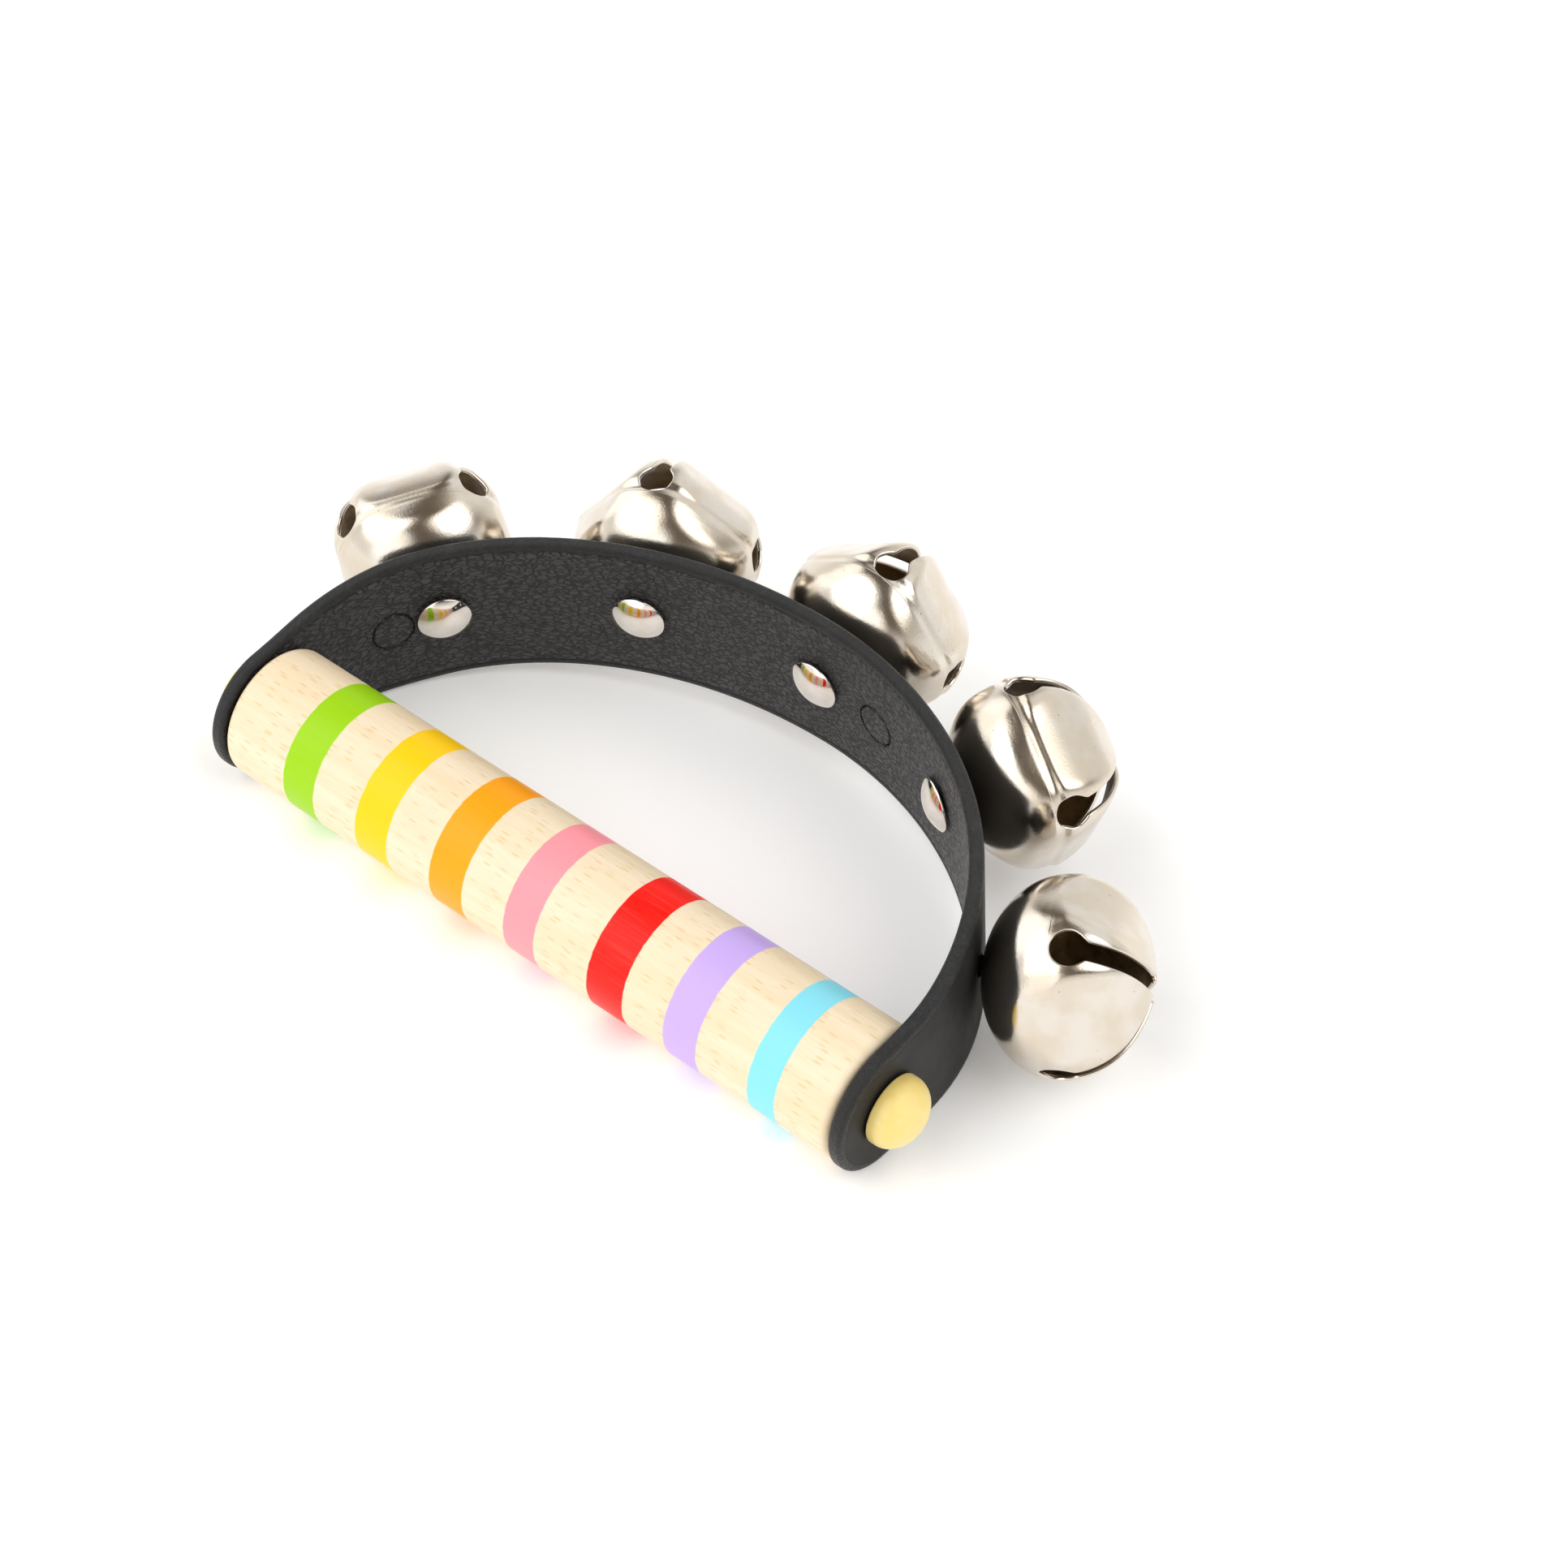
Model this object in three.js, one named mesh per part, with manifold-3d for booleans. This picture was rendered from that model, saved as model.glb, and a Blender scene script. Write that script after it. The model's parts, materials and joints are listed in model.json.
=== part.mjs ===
// Hand-held sleigh bells: a beech stick, a leatherette strap bowed from end to end of it,
// and five crossed-slot jingle bells riveted to the outside of the strap.
// Millimetres, +Z up. The stick runs along X and the strap bows out towards +Y. The piece lies at
// rest: it stands on the strap's two tabs and on its outermost bells, and the origin is the middle
// of its footprint, on the surface that it lies on.
import * as THREE from 'three';
import { mergeVertices } from 'three/addons/utils/BufferGeometryUtils.js';
import Module from 'manifold-3d';

const wasm = await Module();
wasm.setup();

// ---------------------------------------------------------------- driving dimensions
const FIT_GAP = 0.3; // clearance between pieces that touch

const HANDLE_DIAMETER = 22;
const HANDLE_LENGTH = 121.6;
const HANDLE_ROUNDING = 1.5;

const PEG_HEAD_DIAMETER = 11.6;
const PEG_HEAD_HEIGHT = 5.6;
const PEG_SHANK_DIAMETER = 7.4;
const PEG_SHANK_LENGTH = 18; // from the underside of the head

const STRAP_THICKNESS = 2.4;
const STRAP_WIDTH = 28;
const STRAP_DROP = 0.8; // the strap's mid-line lies this far below the stick's axis
const TAB_RADIUS = 11.2; // round ends of the strap, centred on the pegs
const TAPER_LENGTH = 30; // from the peg to where the strap has its full width
const ARCH_START = 7.3; // the strap runs straight this far past the peg
const ARCH_DEPTH = 52; // from there to the strap's crown
const ARCH_FULLNESS_LEFT = 2.1; // 2 would be a quarter ellipse on that side
const ARCH_FULLNESS_RIGHT = 1.9;
const ARCH_SWAY = 4; // the crown leans this far towards +X

const BELL_COUNT = 5;
const BELL_PITCH = 33.1; // along the strap's outer face
const BELL_SHIFT = 2.3; // the row of bells sits this far towards +X of the strap's middle
const BELL_RADIUS = 15.4; // at the bell's equator
const BELL_CROWN_DEPTH = 12.7; // from the equator back to the crown, on the strap
const BELL_POLE_HEIGHT = 13.3; // from the equator out to where the slots cross
const BELL_WALL = 0.8;
const PETAL_HINGE = -4.2; // the petals bend as an ellipse centred this far along the axis
const PETAL_REACH = 14.2; // and this wide there
const SLOT_WIDTH = 2.8;
const KEYHOLE_DIAMETER = 5.4;
const KEYHOLE_HEIGHT = 0.8; // above the equator
const BELL_SPINS = [39, 85, 11, 69, 21]; // degrees about each rivet, as the bells have come to rest

const PELLET_DIAMETER = 7.5;
const PELLET_ORBIT = 9.1; // from the bell's axis to the ball lying on the wall
const PELLET_SETBACK = 2; // behind the equator, where the bell is widest inside

const RIVET_SHANK_DIAMETER = 3.2;
const RIVET_FLANGE_DIAMETER = 7;
const RIVET_FLANGE_THICKNESS = 0.8;
const RIVET_CAP_DIAMETER = 9;
const RIVET_CAP_HEIGHT = 1.9;
const RIVET_CAP_GAP = 0.5; // the strap is hollow towards the cap, so its rim needs more clearance
const RIVET_SOCKET_DEPTH = 1;

// ---------------------------------------------------------------- materials
const surface = (color, roughness, metalness) =>
  new THREE.MeshStandardMaterial({ color, roughness, metalness });
const beech = surface(0xf5e6cc, 0.5, 0);
const leatherette = surface(0x2b2b2d, 0.6, 0);
const pegPaint = surface(0xf5de8c, 0.4, 0);
const nickel = surface(0xc9c2b6, 0.2, 1);
const steel = surface(0x9a9a9a, 0.3, 1);

// ---------------------------------------------------------------- solids
function toSolid(geometry) {
  const bare = geometry.index ? geometry.toNonIndexed() : geometry.clone();
  bare.deleteAttribute('normal');
  bare.deleteAttribute('uv');
  const merged = mergeVertices(bare, 1e-4);
  return new wasm.Manifold(
    new wasm.Mesh({
      numProp: 3,
      vertProperties: new Float32Array(merged.attributes.position.array),
      triVerts: new Uint32Array(merged.index.array),
    }),
  );
}

function toGeometry(solid) {
  const mesh = solid.getMesh();
  const geometry = new THREE.BufferGeometry();
  geometry.setAttribute('position', new THREE.BufferAttribute(mesh.vertProperties, 3));
  geometry.setIndex(new THREE.BufferAttribute(mesh.triVerts, 1));
  return geometry;
}

// A solid of revolution about +Z from [radius, height] points that start and end on the axis.
function turned(points, segments) {
  const profile = points.map(([radius, height]) => new THREE.Vector2(radius, height));
  return new THREE.LatheGeometry(profile, segments).rotateX(Math.PI / 2);
}

function rod(radius, from, to, segments) {
  const points = [
    [0, from],
    [radius, from],
    [radius, to],
    [0, to],
  ];
  return turned(points, segments);
}

// Points of a quarter ellipse, from angle `start` to `end` in degrees, round (x, y).
function arc(x, y, radiusX, radiusY, start, end, steps) {
  return Array.from({ length: steps + 1 }, (_, i) => {
    const angle = THREE.MathUtils.degToRad(start + ((end - start) * i) / steps);
    return [x + radiusX * Math.cos(angle), y + radiusY * Math.sin(angle)];
  });
}

// ---------------------------------------------------------------- stick and pegs
function handleGeometry() {
  const radius = HANDLE_DIAMETER / 2;
  const half = HANDLE_LENGTH / 2;
  const core = radius - HANDLE_ROUNDING;
  const shoulder = half - HANDLE_ROUNDING;
  const bore = PEG_SHANK_DIAMETER / 2 + FIT_GAP;
  const boreEnd = half - PEG_SHANK_LENGTH;
  const points = [
    [0, -boreEnd],
    [bore, -boreEnd],
    [bore, -half],
    ...arc(core, -shoulder, HANDLE_ROUNDING, HANDLE_ROUNDING, -90, 0, 4),
    ...arc(core, shoulder, HANDLE_ROUNDING, HANDLE_ROUNDING, 0, 90, 4),
    [bore, half],
    [bore, boreEnd],
    [0, boreEnd],
  ];
  return turned(points, 32).rotateY(Math.PI / 2);
}

// The peg's head stands on z = 0 and its shank goes down.
function pegGeometry() {
  const shank = PEG_SHANK_DIAMETER / 2;
  const head = PEG_HEAD_DIAMETER / 2;
  const rim = 1.2;
  const points = [
    [0, -PEG_SHANK_LENGTH],
    [shank, -PEG_SHANK_LENGTH],
    [shank, 0],
    [head, 0],
    ...arc(0, rim, head, PEG_HEAD_HEIGHT - rim, 0, 90, 5),
  ];
  return turned(points, 16);
}

// ---------------------------------------------------------------- strap
const ARCH_HALF_WIDTH = HANDLE_LENGTH / 2 + FIT_GAP + STRAP_THICKNESS;
const TAB_BACK = -TAB_RADIUS - 1; // the plan is cut longer than the tabs and trimmed to them

// The strap's outer face in plan, for an angle from 180 degrees at the left leg to 0 at the right.
function archPoint(angle) {
  const side = Math.cos(angle);
  const power = 2 / (side < 0 ? ARCH_FULLNESS_LEFT : ARCH_FULLNESS_RIGHT);
  const rise = Math.abs(Math.sin(angle)) ** power;
  const spread = Math.sign(side) * Math.abs(side) ** power;
  const x = ARCH_HALF_WIDTH * spread + ARCH_SWAY * rise * rise;
  return new THREE.Vector2(x, ARCH_START + ARCH_DEPTH * rise);
}

function archNormal(angle) {
  const step = 1e-4;
  const inside = THREE.MathUtils.clamp(angle, 2 * step, Math.PI - 2 * step);
  const along = archPoint(inside - step).sub(archPoint(inside + step));
  return new THREE.Vector2(-along.y, along.x).normalize();
}

// The angle at each bell, spaced evenly along the strap.
function bellAngles() {
  const steps = 2000;
  const angles = Array.from({ length: steps + 1 }, (_, i) => Math.PI * (1 - i / steps));
  const lengths = [0];
  for (let i = 1; i <= steps; i += 1) {
    lengths.push(lengths[i - 1] + archPoint(angles[i]).distanceTo(archPoint(angles[i - 1])));
  }
  const first = lengths[steps] / 2 + BELL_SHIFT - ((BELL_COUNT - 1) / 2) * BELL_PITCH;
  return Array.from({ length: BELL_COUNT }, (_, index) => {
    const along = first + index * BELL_PITCH;
    return angles[lengths.findIndex((length) => length >= along)];
  });
}

function strapPlan() {
  const steps = 44;
  const angles = Array.from({ length: steps + 1 }, (_, i) => Math.PI * (1 - i / steps));
  const outer = angles.map(archPoint);
  const inner = angles.map((angle) =>
    archPoint(angle).addScaledVector(archNormal(angle), -STRAP_THICKNESS),
  );
  const inside = ARCH_HALF_WIDTH - STRAP_THICKNESS;
  return new THREE.Shape([
    new THREE.Vector2(-ARCH_HALF_WIDTH, TAB_BACK),
    ...outer,
    new THREE.Vector2(ARCH_HALF_WIDTH, TAB_BACK),
    new THREE.Vector2(inside, TAB_BACK),
    ...inner.reverse(),
    new THREE.Vector2(-inside, TAB_BACK),
  ]);
}

// Both legs look the same from the side: a round tab that widens into the band.
function strapSide() {
  const top = STRAP_WIDTH / 2 - STRAP_DROP;
  const bottom = -STRAP_WIDTH / 2 - STRAP_DROP;
  const beyond = ARCH_START + ARCH_DEPTH + STRAP_WIDTH;
  const ease = TAPER_LENGTH / 2;
  const side = new THREE.Shape();
  side.moveTo(0, TAB_RADIUS);
  side.absarc(0, 0, TAB_RADIUS, Math.PI / 2, (3 * Math.PI) / 2, false);
  side.bezierCurveTo(ease, -TAB_RADIUS, ease, bottom, TAPER_LENGTH, bottom);
  side.lineTo(beyond, bottom);
  side.lineTo(beyond, top);
  side.lineTo(TAPER_LENGTH, top);
  side.bezierCurveTo(ease, top, ease, TAB_RADIUS, 0, TAB_RADIUS);
  return side;
}

function extruded(shape, depth, curveSegments) {
  const settings = { depth, bevelEnabled: false, curveSegments };
  return new THREE.ExtrudeGeometry(shape, settings).translate(0, 0, -depth / 2);
}

function strapGeometry(seats) {
  const plan = extruded(strapPlan(), 4 * TAB_RADIUS, 1);
  const sideways = new THREE.Matrix4().makeBasis(
    new THREE.Vector3(0, 1, 0),
    new THREE.Vector3(0, 0, 1),
    new THREE.Vector3(1, 0, 0),
  );
  const side = extruded(strapSide(), 4 * ARCH_HALF_WIDTH, 8).applyMatrix4(sideways);
  const pegHole = PEG_SHANK_DIAMETER / 2 + FIT_GAP;
  const pegBore = rod(pegHole, -2 * ARCH_HALF_WIDTH, 2 * ARCH_HALF_WIDTH, 16);
  let band = toSolid(plan).intersect(toSolid(side));
  band = band.subtract(toSolid(pegBore.rotateY(Math.PI / 2)));
  const rivetHole = RIVET_SHANK_DIAMETER / 2 + FIT_GAP;
  for (const seat of seats) {
    const bore = rod(rivetHole, -2 * STRAP_THICKNESS, STRAP_THICKNESS, 12);
    band = band.subtract(toSolid(bore.applyMatrix4(seat)));
  }
  return toGeometry(band);
}

// ---------------------------------------------------------------- bells
// A bell's own frame: +Z out along its rivet, the equator at z = 0.

// The wall's outline before the petals are flattened, from the crown to the pole.
function bellProfile(inset) {
  const steps = 7;
  const radius = BELL_RADIUS - inset;
  const dome = arc(0, 0, radius, BELL_CROWN_DEPTH - inset, -90, 0, steps);
  const front = arc(0, 0, radius, BELL_POLE_HEIGHT - inset, 0, 90, steps);
  dome[0][0] = 0;
  front[steps][0] = 0;
  return [...dome, ...front.slice(1)];
}

// How far the middle of a petal stands from the axis at a height.
function petalReach(height, inset) {
  const share = (height - PETAL_HINGE) / (BELL_POLE_HEIGHT - inset - PETAL_HINGE);
  return (PETAL_REACH - inset) * Math.sqrt(Math.max(0, 1 - share * share));
}

// The four petals are bent plates, flat across, so they trim the round body to a square whose
// corners are where the slots run, along X and Y.
function bellBody(inset) {
  const geometry = turned(bellProfile(inset), 32);
  const position = geometry.attributes.position;
  for (let i = 0; i < position.count; i += 1) {
    const x = position.getX(i);
    const y = position.getY(i);
    const z = position.getZ(i);
    const across = (Math.abs(x) + Math.abs(y)) / Math.SQRT2;
    const reach = z > PETAL_HINGE ? petalReach(z, inset) : Infinity;
    const trim = across > reach ? reach / across : 1;
    position.setXY(i, x * trim, y * trim);
  }
  return toSolid(geometry);
}

function bellGeometry() {
  const length = 3 * BELL_RADIUS;
  const slotHeight = 2 * BELL_POLE_HEIGHT;
  const crownHole = RIVET_SHANK_DIAMETER / 2 + FIT_GAP;
  let shell = bellBody(0).subtract(bellBody(BELL_WALL));
  for (const turn of [0, Math.PI / 2]) {
    const slot = new THREE.BoxGeometry(length, SLOT_WIDTH, slotHeight);
    slot.translate(0, 0, KEYHOLE_HEIGHT + slotHeight / 2).rotateZ(turn);
    const keyhole = rod(KEYHOLE_DIAMETER / 2, -length / 2, length / 2, 16);
    keyhole.rotateY(Math.PI / 2).translate(0, 0, KEYHOLE_HEIGHT).rotateZ(turn);
    shell = shell.subtract(toSolid(slot)).subtract(toSolid(keyhole));
  }
  const crown = rod(crownHole, -2 * BELL_CROWN_DEPTH, -BELL_CROWN_DEPTH / 2, 12);
  return toGeometry(shell.subtract(toSolid(crown)));
}

// ---------------------------------------------------------------- rivets
// A rivet's own frame: +Z out of the strap, z = 0 on the strap's outer face.
const POST_END = -STRAP_THICKNESS - RIVET_CAP_GAP - RIVET_SOCKET_DEPTH + FIT_GAP;

function rivetPostGeometry() {
  const shank = RIVET_SHANK_DIAMETER / 2;
  const flange = RIVET_FLANGE_DIAMETER / 2;
  const seat = FIT_GAP + BELL_WALL + FIT_GAP + crownRise(flange);
  const points = [
    [0, POST_END],
    [shank, POST_END],
    [shank, seat],
    [flange, seat],
    ...arc(0, seat + RIVET_FLANGE_THICKNESS / 2, flange, RIVET_FLANGE_THICKNESS, 0, 90, 3),
  ];
  return turned(points, 12);
}

// How far the inside of the bell's crown has risen at a radius, which lifts a flat flange.
function crownRise(radius) {
  const inner = BELL_RADIUS - BELL_WALL;
  const depth = BELL_CROWN_DEPTH - BELL_WALL;
  return depth * (1 - Math.sqrt(1 - (radius / inner) ** 2));
}

function rivetCapGeometry() {
  const radius = RIVET_CAP_DIAMETER / 2;
  const socket = RIVET_SHANK_DIAMETER / 2 + FIT_GAP;
  const under = -STRAP_THICKNESS - RIVET_CAP_GAP;
  const rim = 0.5;
  const dome = arc(0, under - rim, radius, RIVET_CAP_HEIGHT - rim, -90, 0, 4);
  const points = [
    ...dome,
    [radius, under],
    [socket, under],
    [socket, under - RIVET_SOCKET_DEPTH],
    [0, under - RIVET_SOCKET_DEPTH],
  ];
  points[0][0] = 0;
  return turned(points, 16);
}

// ---------------------------------------------------------------- assembly
function piece(name, geometry, material) {
  const mesh = new THREE.Mesh(geometry, material);
  mesh.name = name;
  return mesh;
}

// The frame of a bell's seat on the strap: X along the strap, Y up, Z out of it.
function seatMatrix(angle) {
  const point = archPoint(angle);
  const normal = archNormal(angle);
  const up = new THREE.Vector3(0, 0, 1);
  const out = new THREE.Vector3(normal.x, normal.y, 0);
  const along = new THREE.Vector3().crossVectors(up, out);
  return new THREE.Matrix4()
    .makeBasis(along, up, out)
    .setPosition(point.x, point.y, -STRAP_DROP);
}

// The tilt at which the tabs and the outermost bells touch the same level surface.
function restTilt(seat) {
  const middle = new THREE.Vector3(0, 0, FIT_GAP + BELL_CROWN_DEPTH).applyMatrix4(seat);
  const lift = (BELL_RADIUS - TAB_RADIUS) / Math.hypot(middle.y, middle.z);
  return Math.asin(lift) - Math.atan2(middle.z, middle.y);
}

const seats = bellAngles().map(seatMatrix);
const object = new THREE.Group();
const assembly = new THREE.Group();
object.add(assembly);

assembly.add(piece('handle', handleGeometry(), beech));
assembly.add(piece('strap', strapGeometry(seats), leatherette));

for (const [name, side] of [
  ['peg_left', -1],
  ['peg_right', 1],
]) {
  const peg = piece(name, pegGeometry(), pegPaint);
  peg.rotation.y = (side * Math.PI) / 2;
  peg.position.x = side * (ARCH_HALF_WIDTH + FIT_GAP);
  assembly.add(peg);
}

seats.forEach((seat, index) => {
  const number = index + 1;
  const station = new THREE.Group();
  station.applyMatrix4(seat);
  assembly.add(station);

  station.add(piece(`rivet_cap_${number}`, rivetCapGeometry(), nickel));
  station.add(piece(`rivet_post_${number}`, rivetPostGeometry(), nickel));

  const shell = piece(`bell_shell_${number}`, bellGeometry(), nickel);
  shell.position.z = FIT_GAP + BELL_CROWN_DEPTH;
  shell.rotation.z = THREE.MathUtils.degToRad(BELL_SPINS[index]);
  station.add(shell);

  const ball = new THREE.SphereGeometry(PELLET_DIAMETER / 2, 12, 8);
  const pellet = piece(`pellet_${number}`, ball, steel);
  pellet.position.set(0, -PELLET_ORBIT, FIT_GAP + BELL_CROWN_DEPTH - PELLET_SETBACK);
  station.add(pellet);
});

// Lay it down, then put the origin under the middle of it.
assembly.rotation.x = restTilt(seats[BELL_COUNT - 1]);
object.updateMatrixWorld(true);
const extent = new THREE.Box3().setFromObject(object, true);
const middle = extent.getCenter(new THREE.Vector3());
assembly.position.set(-middle.x, -middle.y, -extent.min.z);

export default object;
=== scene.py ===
"""Hand-held sleigh bells: a beech stick with painted rings, a black leatherette strap bowed from
end to end of it, and five nickel jingle bells riveted to the outside of the strap."""
import json
import math

import bmesh
import bpy
import numpy as np
from mathutils import Matrix, Vector


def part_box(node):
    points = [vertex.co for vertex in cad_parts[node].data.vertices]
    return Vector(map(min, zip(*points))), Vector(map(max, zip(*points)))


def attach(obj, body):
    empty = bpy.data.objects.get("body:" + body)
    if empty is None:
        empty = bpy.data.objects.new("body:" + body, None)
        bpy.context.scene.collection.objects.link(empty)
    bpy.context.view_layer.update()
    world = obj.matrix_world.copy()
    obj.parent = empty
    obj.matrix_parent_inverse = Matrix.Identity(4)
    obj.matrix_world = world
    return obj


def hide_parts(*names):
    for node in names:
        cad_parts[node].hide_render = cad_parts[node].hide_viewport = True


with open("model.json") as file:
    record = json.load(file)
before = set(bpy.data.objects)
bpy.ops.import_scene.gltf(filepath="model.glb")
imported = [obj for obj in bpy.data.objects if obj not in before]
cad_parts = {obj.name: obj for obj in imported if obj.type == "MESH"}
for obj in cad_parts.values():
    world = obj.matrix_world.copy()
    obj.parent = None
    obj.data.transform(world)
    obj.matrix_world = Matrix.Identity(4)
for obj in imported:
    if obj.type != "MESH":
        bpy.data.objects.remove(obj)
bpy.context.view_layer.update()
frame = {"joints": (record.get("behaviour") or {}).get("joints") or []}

MM = 0.001  # shapes below are in millimetres, Blender's are in metres

# ------------------------------------------------------------------ driving dimensions, in mm
HANDLE_DIAMETER = 22
HANDLE_LENGTH = 121.6
HANDLE_ROUNDING = 1.5
RINGS = (  # where each painted ring starts and ends along the stick, and its colour
    (-47.8, -41.4, (0.610, 0.820, 0.000)),
    (-32.5, -25.9, (1.000, 0.805, 0.000)),
    (-17.0, -10.3, (1.000, 0.640, 0.000)),
    (-1.8, 4.3, (1.000, 0.600, 0.640)),
    (14.9, 21.9, (0.980, 0.060, 0.000)),
    (29.9, 36.2, (0.780, 0.670, 0.940)),
    (46.0, 51.1, (0.530, 0.870, 0.940)),
)

PEG_HEAD_DIAMETER = 11.6
PEG_HEAD_HEIGHT = 5.6
PEG_SHANK_DIAMETER = 7.4
PEG_SHANK_LENGTH = 18

STRAP_THICKNESS = 2.4
STRAP_WIDTH = 28
STRAP_DROP = 0.8  # the strap's mid-line lies this far below the stick's axis
TAB_RADIUS = 11.2
TAPER_LENGTH = 30
ARCH_START = 7.3
ARCH_DEPTH = 52
ARCH_FULLNESS_LEFT = 2.1  # 2 would be a quarter ellipse on that side
ARCH_FULLNESS_RIGHT = 1.9
ARCH_SWAY = 4  # how far the arch leans towards its right end
FIT_GAP = 0.3  # clearance between pieces that touch

BELL_SPINS = (39, 85, 11, 69, 21)  # degrees about each rivet
BELL_RADIUS = 15.4
BELL_CROWN_DEPTH = 12.7
BELL_POLE_HEIGHT = 13.3
BELL_WALL = 0.8
PETAL_HINGE = -4.2  # the petals bend as an ellipse centred at this height
PETAL_REACH = 14.2  # and this wide there
SLOT_WIDTH = 2.8
KEYHOLE_DIAMETER = 5.4
KEYHOLE_HEIGHT = 0.8
CROWN_HOLE_DIAMETER = 3.8
PELLET_DIAMETER = 7.5

RIVET_SHANK_DIAMETER = 3.2
RIVET_FLANGE_DIAMETER = 7
RIVET_FLANGE_THICKNESS = 0.8
RIVET_CAP_DIAMETER = 9
RIVET_CAP_HEIGHT = 1.9
RIVET_CAP_GAP = 0.5
RIVET_SOCKET_DEPTH = 1

# ------------------------------------------------------------------ places, from the frame
joints = {joint["name"]: joint for joint in frame["joints"]}


def box_centre(node):
    low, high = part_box(node)
    return (Vector(low) + Vector(high)) / 2


def stick_frame():
    """X along the stick, Y towards the bells, Z across the strap, origin at the stick's middle."""
    axis = joints["bell_3_swivel"]["axis"]
    tilt = math.atan2(axis[2], axis[1])
    return Matrix.Translation(box_centre("handle")) @ Matrix.Rotation(tilt, 4, "X")


STICK = stick_frame()


def bell_frame(number):
    """Z out along the rivet, Y across the strap, origin at the middle of the bell's equator."""
    joint = joints[f"bell_{number}_swivel"]
    out = Vector(joint["axis"]).normalized()
    up = STICK.to_3x3() @ Vector((0, 0, 1))
    along = up.cross(out).normalized()
    turn = Matrix((along, out.cross(along), out)).transposed()
    return Matrix.Translation(joint["pos_m"]) @ turn.to_4x4()


def seat_frame(number):
    """The bell's frame moved back to the strap's outer face."""
    return bell_frame(number) @ Matrix.Translation((0, 0, -(FIT_GAP + BELL_CROWN_DEPTH) * MM))


# ------------------------------------------------------------------ meshes
def make_piece(name, points, faces, matrix, materials, body, node, face_materials=None):
    """A smooth-shaded object made of points in mm in the frame `matrix`, standing for a CAD node."""
    mesh = bpy.data.meshes.new(name)
    mesh.from_pydata((np.asarray(points) * MM).tolist(), [], faces)
    mesh.transform(matrix)
    for material in materials:
        mesh.materials.append(material)
    if face_materials is not None:
        mesh.polygons.foreach_set("material_index", face_materials)
    mesh.shade_smooth()
    mesh.update()
    piece = bpy.data.objects.new(name, mesh)
    bpy.context.scene.collection.objects.link(piece)
    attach(piece, body)
    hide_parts(node)
    return piece


def arc(x, y, radius_x, radius_y, start, end, steps):
    """Points of an elliptical arc round (x, y), from `start` to `end` degrees."""
    angles = np.radians(np.linspace(start, end, steps + 1))
    return list(zip(x + radius_x * np.cos(angles), y + radius_y * np.sin(angles)))


def turned(profile, segments):
    """Points and faces of a solid of revolution about Z, from (radius, height) points."""
    on_axis = 1e-6
    points, faces, rings = [], [], []
    angles = np.linspace(0, 2 * math.pi, segments, endpoint=False)
    for radius, height in profile:
        if radius < on_axis:
            rings.append([len(points)] * segments)
            points.append((0, 0, height))
            continue
        rings.append(list(range(len(points), len(points) + segments)))
        points += [(radius * math.cos(a), radius * math.sin(a), height) for a in angles]
    for lower, upper in zip(rings, rings[1:]):
        for i in range(segments):
            j = (i + 1) % segments
            corners = [lower[i], lower[j], upper[j], upper[i]]
            unique = list(dict.fromkeys(corners))
            if len(unique) > 2:
                faces.append(unique)
    return points, faces


def add_bevel(piece, width, segments=3):
    """Rounds a piece's sharp edges, then keeps its broad faces' shading flat."""
    bevel = piece.modifiers.new("rounded edges", "BEVEL")
    bevel.width = width * MM
    bevel.segments = segments
    bevel.limit_method = "ANGLE"
    bevel.angle_limit = math.radians(35)
    piece.modifiers.new("even shading", "WEIGHTED_NORMAL").keep_sharp = True


def clean_up(mesh, tolerance):
    """Merges points closer than the tolerance, in mm, and turns every face outwards."""
    work = bmesh.new()
    work.from_mesh(mesh)
    bmesh.ops.remove_doubles(work, verts=work.verts, dist=tolerance * MM)
    bmesh.ops.recalc_face_normals(work, faces=work.faces)
    work.to_mesh(mesh)
    work.free()


def smoothstep(value, start, end):
    share = np.clip((value - start) / (end - start), 0, 1)
    return share * share * (3 - 2 * share)


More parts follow.
